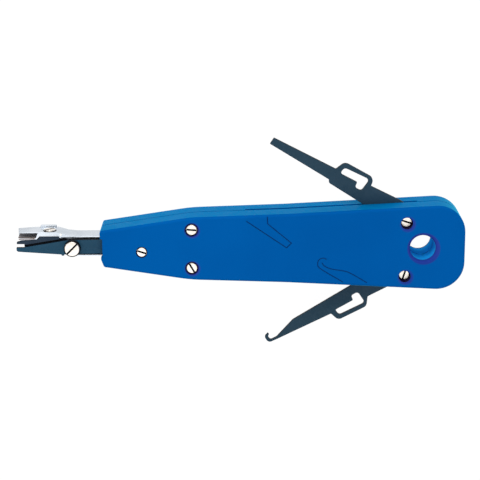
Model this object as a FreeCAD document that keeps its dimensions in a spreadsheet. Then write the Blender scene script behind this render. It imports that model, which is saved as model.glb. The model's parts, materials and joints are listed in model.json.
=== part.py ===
import FreeCAD, Part
import math
import os

import Sketcher

# Punch down tool with a sliding scissor head and two fold-out blades.
# Millimetres, +Z out of the front face. The origin is on the axis of the hanging hole, in the plane of
# the back face. The head points along -X, the butt along +X, and the removal blade folds out on the +Y side.

Vector = FreeCAD.Vector
X_AXIS = Vector(1, 0, 0)
Y_AXIS = Vector(0, 1, 0)
Z_AXIS = Vector(0, 0, 1)
SKETCH_ORIGIN = (-1, 1)
CENTRE_POINT = 3

DIMENSIONS = (
    # housing outline: distances along the tool and half widths
    ("depth", 19.0, "thickness of the closed housing"),
    ("nose_x", -127.4, "front end of the housing on the -Y side"),
    ("nose_high_x", -127.8, "front end of the housing on the +Y side"),
    ("nose_setback", 0.7, "setback of the front wall over the slide"),
    ("nose_low", 4.4, "reach of the flat nose towards -Y"),
    ("nose_high", 6.6, "reach of the flat nose towards +Y"),
    ("shoulder_low_x", -126.3, "end of the nose corner on the -Y side"),
    ("shoulder_high_x", -127.35, "end of the nose corner on the +Y side"),
    ("shoulder_half", 7.42, "half width there"),
    ("neck_x", -92.0, "end of the tapered neck"),
    ("neck_half", 12.75, "half width there"),
    ("waist_x", -54.0, "start of the rear flare"),
    ("waist_half", 14.0, "half width there"),
    ("butt_x", 16.7, "rear end of the housing"),
    ("butt_half", 17.65, "half width that the flare reaches at the rear end"),
    ("butt_round", 11.0, "radius of the rear corners"),
    ("edge_round", 1.1, "rounding of the front and back edges"),
    ("side_wall", 2.0, "thickness of the side walls"),
    ("nose_wall", 2.4, "thickness of the nose wall"),
    ("face_wall", 2.4, "thickness of the front and back walls"),
    ("seam_inset", 0.25, "depth of the groove along the seam"),
    ("seam_height", 0.25, "height of each half of that groove"),
    ("hang_radius", 5.1, "radius of the hanging hole"),
    ("hang_round", 0.5, "rounding of the hanging hole's back edge"),
    ("hang_front_round", 1.3, "rounding of the hanging hole's front edge"),
    ("hang_boss", 6.3, "outer radius of the tube round the hanging hole"),
    # housing screws
    ("nose_screw_x", -111.2, "nose screw"),
    ("nose_screw_y", -1.2, "nose screw"),
    ("pair_screw_x", -91.4, "upper and lower screws"),
    ("pair_screw_y", 7.8, "upper and lower screws"),
    ("boss_radius", 3.4, "screw bosses"),
    ("shank_radius", 1.25, "screw shanks"),
    ("thread_radius", 1.27, "bores of nuts and inserts"),
    ("clear_radius", 1.35, "clearance holes"),
    ("head_seat", 17.4, "height of the seats of the three housing screws"),
    ("head_height", 1.4, "screw heads"),
    ("head_edge", 0.2, "chamfer of the screw heads"),
    ("nose_head", 1.95, "head radius of the nose screw"),
    ("nose_seat", 2.3, "seat radius of the nose screw"),
    ("nose_shank", 9.5, "shank length of the nose screw"),
    ("nose_boss", 3.2, "boss of the nose screw"),
    ("pair_head", 2.15, "head radius of the upper and lower screws"),
    ("pair_seat", 2.5, "seat radius of the upper and lower screws"),
    ("pair_shank", 12.4, "shank length of the upper and lower screws"),
    ("slot_width", 0.75, "screwdriver slots"),
    ("slot_depth", 0.7, "screwdriver slots"),
    ("insert_radius", 2.0, "brass inserts"),
    ("insert_bottom", 4.0, "inserts of the upper and lower screws"),
    ("barrel_radius", 1.7, "barrel nut"),
    ("barrel_flange", 2.6, "flange of the barrel nut"),
    ("barrel_base", 0.3, "underside of the barrel nut's flange"),
    ("barrel_flange_thick", 1.1, "flange of the barrel nut"),
    ("barrel_floor", 1.8, "bottom of the barrel nut's thread"),
    ("barrel_top", 14.45, "top of the barrel nut"),
    # fold-out blades
    ("knife_pivot_x", -6.5, "pivot of the removal blade"),
    ("knife_pivot_y", 10.1, "pivot of the removal blade"),
    ("hook_pivot_x", -7.0, "pivot of the hook blade"),
    ("hook_pivot_y", -11.6, "pivot of the hook blade"),
    ("blade_bottom", 8.05, "back face of the fold-out blades"),
    ("blade_thick", 1.4, "fold-out blades"),
    ("open_angle", 30.0, "angle between each fold-out blade and the tool's length"),
    ("sleeve_radius", 2.0, "pivot sleeves"),
    ("eye_radius", 2.05, "pivot holes in the blades"),
    ("sleeve_bottom", 7.55, "top of the rear pivot bosses"),
    ("sleeve_top", 9.55, "bottom of the front pivot bosses"),
    ("washer_thick", 0.45, "friction washers"),
    ("washer_radius", 2.7, "friction washers"),
    ("pivot_boss", 3.7, "pivot bosses in the shells"),
    ("pivot_seat", 14.8, "height of the seats of the pivot screws"),
    ("pivot_head", 2.1, "head radius of the pivot screws"),
    ("pivot_well", 2.4, "radius of the wells over the pivot screws"),
    ("pivot_shank", 11.6, "shank length of the pivot screws"),
    ("pivot_insert_bottom", 2.6, "inserts of the pivot screws"),
    ("slot_bottom", 7.9, "lower side of the blade slots"),
    ("slot_front_x", -70.2, "front end of the blade slots"),
    ("slot_rear_x", -1.6, "rear end of the blade slots"),
    # sliding head
    ("slide_low", -4.2, "side of the slide towards -Y"),
    ("slide_high", 4.1, "side of the slide towards +Y"),
    ("slide_bottom", 4.2, "back of the slide"),
    ("slide_top", 11.2, "bed of the scissor blades"),
    ("slide_end_x", -97.5, "rear end of the slide"),
    ("rim_thick", 0.5, "thickness of the slide's two rims"),
    ("rim_top", 13.2, "front of the rims and of the sensor block"),
    ("rim_end_x", -127.4, "rear end of the rims"),
    ("stroke", 7.0, "travel of the head into the housing"),
    ("guide_gap", 0.15, "play of the slide in the nose"),
    ("scissor_x", -139.0, "scissor pivot"),
    ("scissor_y", -0.5, "scissor pivot"),
    ("scissor_shank", 1.5, "shank of the scissor pivot screw"),
    ("scissor_head", 2.92, "head of the scissor pivot screw"),
    ("collar_radius", 3.3, "collar round that head"),
    ("collar_height", 1.9, "collar above the fixed blade"),
    ("collar_floor", 1.0, "seat of the screw head above the fixed blade"),
    ("scissor_head_height", 1.2, "head of the scissor pivot screw"),
    ("scissor_shank_length", 10.4, "shank of the scissor pivot screw"),
    ("moving_bottom", 11.25, "back face of the moving scissor blade"),
    ("fixed_bottom", 12.75, "back face of the fixed scissor blade"),
    ("scissor_thick", 1.45, "scissor blades"),
    ("cam_x", -108.6, "cam pin"),
    ("cam_y", 1.5, "cam pin"),
    ("cam_radius", 1.0, "cam pin"),
    ("cam_play", 0.1, "gap between cam pin and cam"),
    ("cam_ratio", 0.0125, "scissor turn in radians for each millimetre of stroke"),
    ("cam_bottom", 11.4, "lower end of the cam pin"),
    ("cam_root", 2.6, "depth of the cam pin in the front shell"),
    ("cam_boss", 2.2, "boss of the cam pin"),
    ("rivet_x", -123.2, "rivet of the fixed blade"),
    ("rivet_y", -2.1, "rivet of the fixed blade"),
    ("rivet_radius", 0.7, "rivet of the fixed blade"),
    ("rivet_hole", 0.72, "holes for that rivet"),
    ("rivet_shoulder", 0.95, "its shoulder between slide and blade"),
    ("rivet_bottom", 7.8, "its lower end"),
    # main spring
    ("spring_y", -0.2, "axis of the main spring"),
    ("spring_z", 7.7, "axis of the main spring"),
    ("spring_radius", 3.2, "mean radius of the main spring"),
    ("spring_wire", 0.45, "radius of its wire"),
    ("spring_front_x", -96.7, "front end of the spring"),
    ("spring_rear_x", -72.7, "rear end of the spring"),
    ("spring_turns", 9.0, "turns of the main spring"),
    ("rod_radius", 1.5, "spring guide rod"),
    ("rod_play", 0.15, "gap round the rod in the slide"),
    ("rod_bore", 9.0, "depth of the rod's bore in the slide"),
    ("rod_flange", 3.9, "flange that the spring leans on"),
    ("seat_radius", 3.5, "spring seat behind the slide"),
    ("rod_tip_x", -98.5, "front end of the rod"),
    ("bulkhead_front_x", -71.5, "wall that carries the rod"),
    ("bulkhead_rear_x", -69.5, "wall that carries the rod"),
    ("bulkhead_half", 5.0, "half width of that wall"),
    ("torsion_radius", 2.3, "mean radius of the scissor torsion spring"),
    ("torsion_wire", 0.22, "radius of its wire"),
    ("torsion_height", 1.3, "height of its coil"),
    ("torsion_turns", 2.6, "turns of its coil"),
    ("torsion_seat", 2.75, "seat of its coil in the slide"),
    ("torsion_depth", 2.0, "depth of that seat"),
    ("torsion_drop", 1.7, "start of its coil below the blades' bed"),
    # sensor block
    ("sensor_screw_x", -148.2, "side screw"),
    ("sensor_screw_z", 10.3, "side screw"),
    ("sensor_face", 5.65, "side face of the sensor block"),
    ("sensor_head", 2.3, "head of the side screw"),
    ("sensor_head_height", 0.6, "head of the side screw"),
    ("sensor_slot_depth", 0.35, "slot in the side screw"),
    ("sensor_slot_width", 0.9, "slot in the side screw"),
    ("sensor_shank", 0.75, "shank of the side screw"),
    ("sensor_shank_length", 6.0, "shank of the side screw"),
    ("sensor_hole", 0.8, "hole for the side screw in the block"),
    ("lip_reach", 0.9, "lip along the back edge of the block"),
    ("lip_thick", 1.2, "lip along the back edge of the block"),
    ("recess_depth", 6.6, "brown recess at the block's tip"),
    ("recess_low", 3.2, "side of that recess towards -Y"),
    ("guide_front_x", -160.6, "front end of the wire guide plate"),
    ("guide_bottom", 6.7, "back edge of the wire guide plate"),
    ("guide_thick", 0.3, "wire guide plate in the recess"),
    ("guide_length", 6.9, "wire guide plate in the recess"),
    ("guide_height", 6.2, "wire guide plate in the recess"),
    ("pin_x", -143.6, "block pin"),
    ("pin_y", 4.7, "block pin"),
    ("pin_radius", 0.4, "block pin"),
    ("pin_depth", 4.0, "block pin below the block's front"),
    ("pin_rise", 0.2, "block pin above the block's front"),
    # engraved lines
    ("line_width", 0.4, "engraved lines"),
    ("line_depth", 0.2, "engraved lines"),
)

doc = FreeCAD.newDocument("punch_down_tool")
sheet = doc.addObject("Spreadsheet::Sheet", "Dims")
for row, (alias, value, note) in enumerate(DIMENSIONS, start=1):
    sheet.set(f"A{row}", alias)
    sheet.set(f"B{row}", str(value))
    sheet.set(f"C{row}", note)
    sheet.setAlias(f"B{row}", alias)
doc.recompute()


def size(alias):
    """Value of one cell of the sheet."""
    return float(sheet.get(alias))


SEAM = size("depth") / 2


# ---------------------------------------------------------------- helpers


def bind(item, **expressions):
    """Tie properties to the sheet; a double underscore in a name stands for a dot."""
    for name, expression in expressions.items():
        item.setExpression(name.replace("__", "."), expression)
    return item


def place(item, x, y, z, axis=Z_AXIS, angle=0.0):
    """Turn an object about its own origin, then tie its position to the sheet."""
    item.Placement = FreeCAD.Placement(Vector(0, 0, 0), FreeCAD.Rotation(axis, angle))
    return bind(item, Placement__Base__x=x, Placement__Base__y=y, Placement__Base__z=z)


def cylinder(name, radius, height, x, y, z, axis=Z_AXIS, angle=0.0):
    item = doc.addObject("Part::Cylinder", name)
    bind(item, Radius=radius, Height=height)
    return place(item, x, y, z, axis, angle)


def cut(name, base, tool):
    item = doc.addObject("Part::Cut", name)
    item.Base = base
    item.Tool = tool
    return item


def fuse(name, pieces):
    item = doc.addObject("Part::MultiFuse", name)
    item.Shapes = pieces
    return item


def ring(name, outer, inner, height, x, y, z):
    """A washer or bush: a cylinder with a bore, standing at x, y, z."""
    body = cylinder(name + "_disc", outer, height, x, y, z)
    bore = cylinder(name + "_bore", inner, height, x, y, z)
    return cut(name, body, bore)


def new_body(name):
    return doc.addObject("PartDesign::Body", name)


def origin_plane(body, role):
    return next(item for item in body.Origin.OriginFeatures if item.Role == role)


def sketch_on(body, name, role="XY_Plane", offset="0"):
    """An empty sketch on one of the body's origin planes, moved along the plane's normal."""
    sketch = body.newObject("Sketcher::SketchObject", name)
    sketch.AttachmentSupport = (origin_plane(body, role), "")
    sketch.MapMode = "FlatFace"
    return bind(sketch, AttachmentOffset__Base__z=offset)


def rounded(corners):
    """Lines and arcs of a closed outline; a corner is (x, y) or (x, y, rounding radius)."""
    trimmed = []
    for index, corner in enumerate(corners):
        here = Vector(corner[0], corner[1], 0)
        before = Vector(*corners[index - 1][:2], 0) - here
        after = Vector(*corners[(index + 1) % len(corners)][:2], 0) - here
        radius = corner[2] if len(corner) > 2 else 0.0
        if radius == 0.0:
            trimmed.append((here, here, here))
            continue
        before.normalize()
        after.normalize()
        half = before.getAngle(after) / 2
        middle = (before + after).normalize()
        reach = radius / math.tan(half)
        centre = here + middle * (radius / math.sin(half))
        trimmed.append((here + before * reach, centre - middle * radius, here + after * reach))
    edges = []
    for index, (start, middle, end) in enumerate(trimmed):
        if start != end:
            edges.append(Part.Arc(start, middle, end))
        edges.append(Part.LineSegment(end, trimmed[(index + 1) % len(trimmed)][0]))
    return edges


def add_outline(sketch, corners):
    for edge in rounded(corners):
        sketch.addGeometry(edge, False)


def add_circle(sketch, x, y, radius):
    """A circle whose centre and radius follow the sheet."""
    sketch.addGeometry(Part.Circle(Vector(0, 0, 0), Z_AXIS, 1.0), False)
    index = sketch.GeometryCount - 1
    centre = (*SKETCH_ORIGIN, index, CENTRE_POINT)
    bindings = (("DistanceX", centre, x), ("DistanceY", centre, y), ("Radius", (index,), radius))
    for kind, target, expression in bindings:
        number = sketch.addConstraint(Sketcher.Constraint(kind, *target, 1.0))
        sketch.setExpression(f"Constraints[{number}]", expression)


def mirrored(corners):
    """The corners on the other side of the X axis, in the opposite order."""
    return [(x, -y, radius) for x, y, radius in reversed(corners)]


def rectangle(left, right, low, high, radius=0.0):
    return [(left, low, radius), (right, low, radius), (right, high, radius), (left, high, radius)]


def pad(body, sketch, name, length, down=False):
    """Add material from the sketch upwards, or downwards."""
    item = body.newObject("PartDesign::Pad", name)
    item.Profile = sketch
    item.Reversed = down
    return bind(item, Length=length)


def pocket(body, sketch, name, length, up=False):
    """Remove material from the sketch downwards, or upwards, and make sure that some was there."""
    doc.recompute()
    before = body.Shape.Volume
    item = body.newObject("PartDesign::Pocket", name)
    item.Profile = sketch
    item.Reversed = up
    bind(item, Length=length)
    doc.recompute()
    if body.Shape.Volume > before - 1e-3:
        raise RuntimeError(f"{name} removes nothing")
    return item


def round_edges(body, name, height, radius, keep):
    """Round the edges of the body that lie at a height and pass a test on their middle point."""
    doc.recompute()
    base = body.Tip
    names = []
    for number, edge in enumerate(base.Shape.Edges, start=1):
        box = edge.BoundBox
        if abs(box.ZMin - height) < 1e-4 and abs(box.ZMax - height) < 1e-4 and keep(box.Center):
            names.append(f"Edge{number}")
    item = body.newObject("PartDesign::Fillet", name)
    item.Base = (base, names)
    return bind(item, Radius=radius)


def circles(body, name, offset, spots):
    """A sketch with one circle for each (x, y, radius) of expressions."""
    sketch = sketch_on(body, name, offset=offset)
    for x, y, radius in spots:
        add_circle(sketch, x, y, radius)
    return sketch


def shape_sketch(body, name, offset, *outlines):
    sketch = sketch_on(body, name, offset=offset)
    for corners in outlines:
        add_outline(sketch, corners)
    return sketch


# ---------------------------------------------------------------- housing


def housing_outline(inset):
    """Outline of the housing seen from the front, moved inwards by inset, as one closed loop."""
    rear = [
        (size("neck_x"), size("neck_half") - inset, 60.0),
        (size("waist_x"), size("waist_half") - inset, 200.0),
        (size("butt_x") - inset, size("butt_half") - inset, size("butt_round") - inset),
    ]
    high = [
        (size("nose_high_x") + inset, size("nose_high"), 1.0),
        (size("shoulder_high_x") + inset, size("shoulder_half") - inset, 0.7),
    ]
    low = [
        (size("nose_x") + inset, size("nose_low"), 1.0),
        (size("shoulder_low_x") + inset, size("shoulder_half") - inset, 0.9),
    ]
    return high + rear + mirrored(low + rear)


HANG_AXIS = ("0", "0")
NOSE_SCREW = ("Dims.nose_screw_x", "Dims.nose_screw_y")
PAIR_SCREWS = (("Dims.pair_screw_x", "Dims.pair_screw_y"), ("Dims.pair_screw_x", "-Dims.pair_screw_y"))
PIVOTS = (("Dims.knife_pivot_x", "Dims.knife_pivot_y"), ("Dims.hook_pivot_x", "Dims.hook_pivot_y"))
CAM_PIN = ("Dims.cam_x", "Dims.cam_y")


def nose_opening():
    play = size("guide_gap")
    front = size("nose_x")
    rear = front + size("nose_wall") + 0.2
    return rectangle(front - 1, rear, size("slide_low") - play, size("slide_high") + play)


def cavity_outline():
    """Inside of the side walls and of the nose wall."""
    wall = size("side_wall")
    half = [
        (size("nose_x") + size("nose_wall"), size("shoulder_half") - wall, 1.0),
        (size("neck_x"), size("neck_half") - wall, 60.0),
        (size("waist_x"), size("waist_half") - wall, 200.0),
        (size("butt_x") - wall, size("butt_half") - wall, size("butt_round") - wall),
    ]
    return half + mirrored(half)


def bulkhead():
    """Wall across the middle that carries the spring guide rod."""
    middle, half = size("spring_y"), size("bulkhead_half")
    return rectangle(size("bulkhead_front_x"), size("bulkhead_rear_x"), middle - half, middle + half)


def guide_rails():
    """Two low walls beside the slide, from the nose to the end of its travel."""
    play = size("guide_gap")
    front = size("nose_x") + size("nose_wall") - 0.4
    rear = size("slide_end_x") + size("stroke") - 8.0
    high = size("slide_high") + play
    low = size("slide_low") - play
    return rectangle(front, rear, high, high + 1.3), rectangle(front, rear, low - 1.3, low)


def spine():
    """Thin wall along the middle, between the folded blades, from the bulkhead to the hanging hole's tube."""
    return rectangle(size("bulkhead_rear_x") + 0.5, -size("hang_boss") + 0.5, -0.8, 0.8)


def blade_slots():
    """Openings in both side walls that the fold-out blades swing through."""
    front, rear = size("slot_front_x"), size("slot_rear_x")
    outer = size("butt_half") + 1.0
    knife_side = rectangle(front, rear, size("knife_pivot_y") - 1.5, outer)
    hook_side = rectangle(front, rear, -outer, size("hook_pivot_y") + 1.5)
    return knife_side, hook_side


def build_rear_shell():
    body = new_body("rear_shell")
    pad(body, shape_sketch(body, "rear_plan", "0", housing_outline(0)), "rear_block",
        "Dims.depth / 2 - Dims.seam_height")
    round_edges(body, "rear_edges", 0.0, "Dims.edge_round", lambda centre: True)
    lip = shape_sketch(body, "rear_lip_plan", "Dims.depth / 2 - Dims.seam_height - 0.5",
                       housing_outline(size("seam_inset")))
    pad(body, lip, "rear_lip", "Dims.seam_height + 0.5")
    cavity = shape_sketch(body, "rear_cavity_plan", "Dims.depth / 2", cavity_outline())
    pocket(body, cavity, "rear_cavity", "Dims.depth / 2 - Dims.face_wall")
    floor = "Dims.face_wall - 0.5"
    to_seam = "Dims.depth / 2 - Dims.face_wall + 0.5"
    tall = [(*spot, "Dims.boss_radius") for spot in PAIR_SCREWS] + [(*HANG_AXIS, "Dims.hang_boss")]
    pad(body, circles(body, "rear_boss_plan", floor, tall), "rear_bosses", to_seam)
    low = [(*spot, "Dims.pivot_boss") for spot in PIVOTS]
    pad(body, circles(body, "rear_pivot_plan", floor, low), "rear_pivot_bosses",
        "Dims.sleeve_bottom - Dims.face_wall + 0.5")
    walls = shape_sketch(body, "rear_wall_plan", floor, bulkhead(), spine(), *guide_rails())
    pad(body, walls, "rear_walls", to_seam)
    pocket(body, shape_sketch(body, "rear_nose_plan", "Dims.depth / 2", nose_opening()), "rear_nose",
           "Dims.depth / 2 - Dims.slide_bottom + Dims.guide_gap")
    pocket(body, shape_sketch(body, "rear_slot_plan", "Dims.depth / 2", *blade_slots()), "rear_slots",
           "Dims.depth / 2 - Dims.slot_bottom")
    pocket(body, circles(body, "rear_hang_plan", "Dims.depth / 2", [(*HANG_AXIS, "Dims.hang_radius")]),
           "rear_hanging_hole", "Dims.depth")
    inserts = [(*spot, "Dims.insert_radius") for spot in PAIR_SCREWS]
    pocket(body, circles(body, "rear_insert_plan", "Dims.depth / 2", inserts), "rear_insert_holes",
           "Dims.depth / 2 - Dims.insert_bottom")
    deep = [(*spot, "Dims.insert_radius") for spot in PIVOTS]
    pocket(body, circles(body, "rear_pivot_insert_plan", "Dims.sleeve_bottom", deep), "rear_pivot_holes",
           "Dims.sleeve_bottom - Dims.pivot_insert_bottom")
    pocket(body, circles(body, "rear_barrel_plan", "Dims.depth / 2", [(*NOSE_SCREW, "Dims.barrel_radius")]),
           "rear_barrel_hole", "Dims.depth")
    pocket(body, circles(body, "rear_flange_plan", "0", [(*NOSE_SCREW, "Dims.barrel_flange + 0.05")]),
           "rear_flange_seat", "Dims.barrel_base + Dims.barrel_flange_thick", up=True)
    groove = sketch_on(body, "rear_rod_plan", "YZ_Plane", "Dims.bulkhead_front_x - 0.5")
    radius = size("rod_radius")
    add_outline(groove, rectangle(size("spring_y") - radius, size("spring_y") + radius,
                                  size("spring_z") - radius, SEAM + 1.0))
    pocket(body, groove, "rear_rod_groove",
           "Dims.bulkhead_rear_x - Dims.bulkhead_front_x + 1", up=True)
    round_edges(body, "rear_hang_edge", 0.0, "Dims.hang_round",
                lambda centre: math.hypot(centre.x, centre.y) < 1.0)
    return body


def build_front_shell():
    body = new_body("front_shell_body")
    pad(body, shape_sketch(body, "front_plan", "Dims.depth / 2 + Dims.seam_height", housing_outline(0)),
        "front_block", "Dims.depth / 2 - Dims.seam_height")
    round_edges(body, "front_edges", size("depth"), "Dims.edge_round", lambda centre: True)
    lip = shape_sketch(body, "front_lip_plan", "Dims.depth / 2", housing_outline(size("seam_inset")))
    pad(body, lip, "front_lip", "Dims.seam_height + 0.5")
    cavity = shape_sketch(body, "front_cavity_plan", "Dims.depth / 2", cavity_outline())
    pocket(body, cavity, "front_cavity", "Dims.depth / 2 - Dims.face_wall", up=True)
    ceiling = "Dims.depth - Dims.face_wall + 0.5"
    to_seam = "Dims.depth / 2 - Dims.face_wall + 0.5"
    tall = [(*spot, "Dims.boss_radius") for spot in PAIR_SCREWS] + [(*HANG_AXIS, "Dims.hang_boss")]
    pad(body, circles(body, "front_boss_plan", ceiling, tall), "front_bosses", to_seam, down=True)
    low = [(*spot, "Dims.pivot_boss") for spot in PIVOTS]
    pad(body, circles(body, "front_pivot_plan", ceiling, low), "front_pivot_bosses",
        "Dims.depth - Dims.face_wall + 0.5 - Dims.sleeve_top", down=True)
    pad(body, shape_sketch(body, "front_wall_plan", ceiling, bulkhead()), "front_wall", to_seam, down=True)
    pad(body, circles(body, "front_nose_boss_plan", ceiling, [(*NOSE_SCREW, "Dims.nose_boss")]),
        "front_nose_boss",
        "Dims.depth - Dims.face_wall + 0.5 - Dims.barrel_top", down=True)
    pad(body, circles(body, "front_cam_boss_plan", ceiling, [(*CAM_PIN, "Dims.cam_boss")]),
        "front_cam_boss", "Dims.depth - Dims.face_wall + 0.5 - Dims.barrel_top", down=True)
    pocket(body, shape_sketch(body, "front_nose_plan", "Dims.depth / 2", nose_opening()), "front_nose",
           "Dims.barrel_top - Dims.depth / 2", up=True)
    setback = rectangle(size("nose_high_x") - 1, size("nose_x") + size("nose_setback"),
                        size("slide_low") + size("rim_thick"), size("slide_high"))
    pocket(body, shape_sketch(body, "front_setback_plan", "Dims.depth", setback), "front_setback",
           "Dims.depth - Dims.barrel_top")
    pocket(body, circles(body, "front_hang_plan", "Dims.depth", [(*HANG_AXIS, "Dims.hang_radius")]),
           "front_hanging_hole", "Dims.depth")
    through = [(*spot, "Dims.clear_radius") for spot in (NOSE_SCREW, *PAIR_SCREWS, *PIVOTS)]
    pocket(body, circles(body, "front_screw_plan", "Dims.depth", through), "front_screw_holes", "Dims.depth")
    pocket(body, circles(body, "front_nose_seat_plan", "Dims.depth", [(*NOSE_SCREW, "Dims.nose_seat")]),
           "front_nose_seat", "Dims.depth - Dims.head_seat")
    seats = [(*spot, "Dims.pair_seat") for spot in PAIR_SCREWS]
    pocket(body, circles(body, "front_seat_plan", "Dims.depth", seats), "front_seats",
           "Dims.depth - Dims.head_seat")
    wells = [(*spot, "Dims.pivot_well") for spot in PIVOTS]
    pocket(body, circles(body, "front_pivot_well_plan", "Dims.depth", wells), "front_pivot_wells",
           "Dims.depth - Dims.pivot_seat")
    pocket(body, circles(body, "front_pin_plan", "Dims.barrel_top", [(*CAM_PIN, "Dims.cam_radius")]),
           "front_pin_hole", "Dims.cam_root", up=True)
    round_edges(body, "front_hang_edge", size("depth"), "Dims.hang_front_round",
                lambda centre: math.hypot(centre.x, centre.y) < 1.0)
    grooves = [
        engraved_line("removal_picture", REMOVAL_PICTURE),
        engraved_line("hook_picture_outer", smoothed(HOOK_PICTURE_OUTER)),
        engraved_line("hook_picture_inner", smoothed(HOOK_PICTURE_INNER)),
    ]
    return cut("front_shell", body, fuse("engraved_lines", grooves))


# Picture of each fold-out blade beside the slot that it folds into, as open lines on the front face.
REMOVAL_PICTURE = ((-69.8, 11.3), (-53.9, 0.4), (-52.0, 2.3), (-61.4, 10.2), (-61.5, 13.0))
HOOK_PICTURE_OUTER = (
    (-31.4, -13.85), (-40.5, -8.4), (-41.7, -7.0), (-41.4, -4.6), (-39.4, -3.7), (-38.1, -4.4),
)
HOOK_PICTURE_INNER = (
    (-39.8, -5.9), (-39.1, -7.2), (-36.2, -8.5), (-31.4, -9.1), (-28.8, -9.9), (-22.0, -14.1),
)


def smoothed(points):
    """Cut the corners of an open line twice, so that it reads as a curve with the same ends."""
    for _ in range(2):
        curve = [points[0]]
        for (ax, ay), (bx, by) in zip(points, points[1:]):
            curve.append((0.75 * ax + 0.25 * bx, 0.75 * ay + 0.25 * by))
            curve.append((0.25 * ax + 0.75 * bx, 0.25 * ay + 0.75 * by))
        points = [*curve, points[-1]]
    return points


def engraved_line(name, points):
    """A shallow groove of constant width along an open line on the front face."""
    path = doc.addObject("Part::Polygon", name + "_path")
    path.Nodes = [Vector(x, y, 0) for x, y in points]
    place(path, "0", "0", "Dims.depth - Dims.line_depth")
    band = doc.addObject("Part::Offset2D", name + "_band")
    band.Source = path
    band.Fill = True
    bind(band, Value="Dims.line_width / 2")
    groove = doc.addObject("Part::Extrusion", name)
    groove.Base = band
    groove.Dir = Z_AXIS
    groove.DirMode = "Custom"
    groove.Solid = True
    return bind(groove, LengthFwd="Dims.line_depth * 2")


# ---------------------------------------------------------------- fasteners


def slotted_screw(label, head_radius, head_height, shank_radius, shank_length, place_at, slot_angle,
                  axis=Z_AXIS, axis_angle=0.0, slot="slot"):
    """A screw with a slotted head that stands on z = 0 of its own frame, its shank below."""
    head = cylinder(label + "_head", head_radius, head_height, "0", "0", "0")
    edge = doc.addObject("Part::Chamfer", label + "_head_edge")
    doc.recompute()
    edge.Base = head
    top = float(head.Height)
    rims = [number for number, rim in enumerate(head.Shape.Edges, start=1)
            if abs(rim.BoundBox.ZMin - top) < 1e-3]
    edge.Edges = [(number, size("head_edge"), size("head_edge")) for number in rims]
    shank = cylinder(label + "_shank", shank_radius, shank_length, "0", "0", f"-({shank_length})")
    cutter = doc.addObject("Part::Box", label + "_slot")
    bind(cutter, Length=f"2 * ({head_radius}) + 2", Width=f"Dims.{slot}_width",
         Height=f"Dims.{slot}_depth + 1")
    turn = math.radians(slot_angle)
    half_length = float(head.Radius) + 1.0
    half_width = size(slot + "_width") / 2
    corner = Vector(
        -half_length * math.cos(turn) + half_width * math.sin(turn),
        -half_length * math.sin(turn) - half_width * math.cos(turn),
        top - size(slot + "_depth"),
    )
    cutter.Placement = FreeCAD.Placement(corner, FreeCAD.Rotation(Z_AXIS, slot_angle))
    solid = fuse(label + "_blank", [edge, shank])
    screw = cut(label, solid, cutter)
    return place(screw, *place_at, axis, axis_angle)


# Name, place, height of the seat, head radius, shank length and direction of the slot in degrees.
HOUSING_SCREWS = (
    ("housing_screw_nose", NOSE_SCREW, "Dims.head_seat", "Dims.nose_head", "Dims.nose_shank", -18),
    ("housing_screw_upper", PAIR_SCREWS[0], "Dims.head_seat", "Dims.pair_head", "Dims.pair_shank", -5),
    ("housing_screw_lower", PAIR_SCREWS[1], "Dims.head_seat", "Dims.pair_head", "Dims.pair_shank", -60),
    ("knife_pivot_screw", PIVOTS[0], "Dims.pivot_seat", "Dims.pivot_head", "Dims.pivot_shank", -18),
    ("hook_pivot_screw", PIVOTS[1], "Dims.pivot_seat", "Dims.pivot_head", "Dims.pivot_shank", 72),
)


def build_housing_fasteners():
    parts = [
        slotted_screw(name, head, "Dims.head_height", "Dims.shank_radius", shank, (*spot, seat), slot)
        for name, spot, seat, head, shank, slot in HOUSING_SCREWS
    ]
    for name, spot in zip(("upper", "lower"), PAIR_SCREWS):
        parts.append(ring(f"thread_insert_{name}", "Dims.insert_radius", "Dims.thread_radius",
                          "Dims.depth / 2 - Dims.insert_bottom - 0.1", *spot, "Dims.insert_bottom"))
    for name, spot in zip(("knife", "hook"), PIVOTS):
        parts.append(ring(f"thread_insert_{name}", "Dims.insert_radius", "Dims.thread_radius",
                          "Dims.sleeve_bottom - Dims.pivot_insert_bottom", *spot, "Dims.pivot_insert_bottom"))
        parts.append(ring(f"{name}_pivot_sleeve", "Dims.sleeve_radius", "Dims.thread_radius",
                          "Dims.sleeve_top - Dims.sleeve_bottom", *spot, "Dims.sleeve_bottom"))
        parts.append(ring(f"{name}_spring_washer", "Dims.washer_radius", "Dims.eye_radius",
                          "Dims.washer_thick", *spot, "Dims.sleeve_bottom"))
    base = (*NOSE_SCREW, "Dims.barrel_base")
    barrel = cylinder("barrel", "Dims.barrel_radius", "Dims.barrel_top - Dims.barrel_base", *base)
    flange = cylinder("barrel_flange_disc", "Dims.barrel_flange", "Dims.barrel_flange_thick", *base)
    thread = cylinder("barrel_thread", "Dims.thread_radius", "Dims.barrel_top - Dims.barrel_floor",
                      *NOSE_SCREW, "Dims.barrel_floor")
    parts.append(cut("barrel_nut_nose", fuse("barrel_blank", [barrel, flange]), thread))
    parts.append(cylinder("cam_pin", "Dims.cam_radius", "Dims.barrel_top + Dims.cam_root - Dims.cam_bottom",
                          *CAM_PIN, "Dims.cam_bottom"))
    return parts


# ---------------------------------------------------------------- fold-out blades

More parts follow.
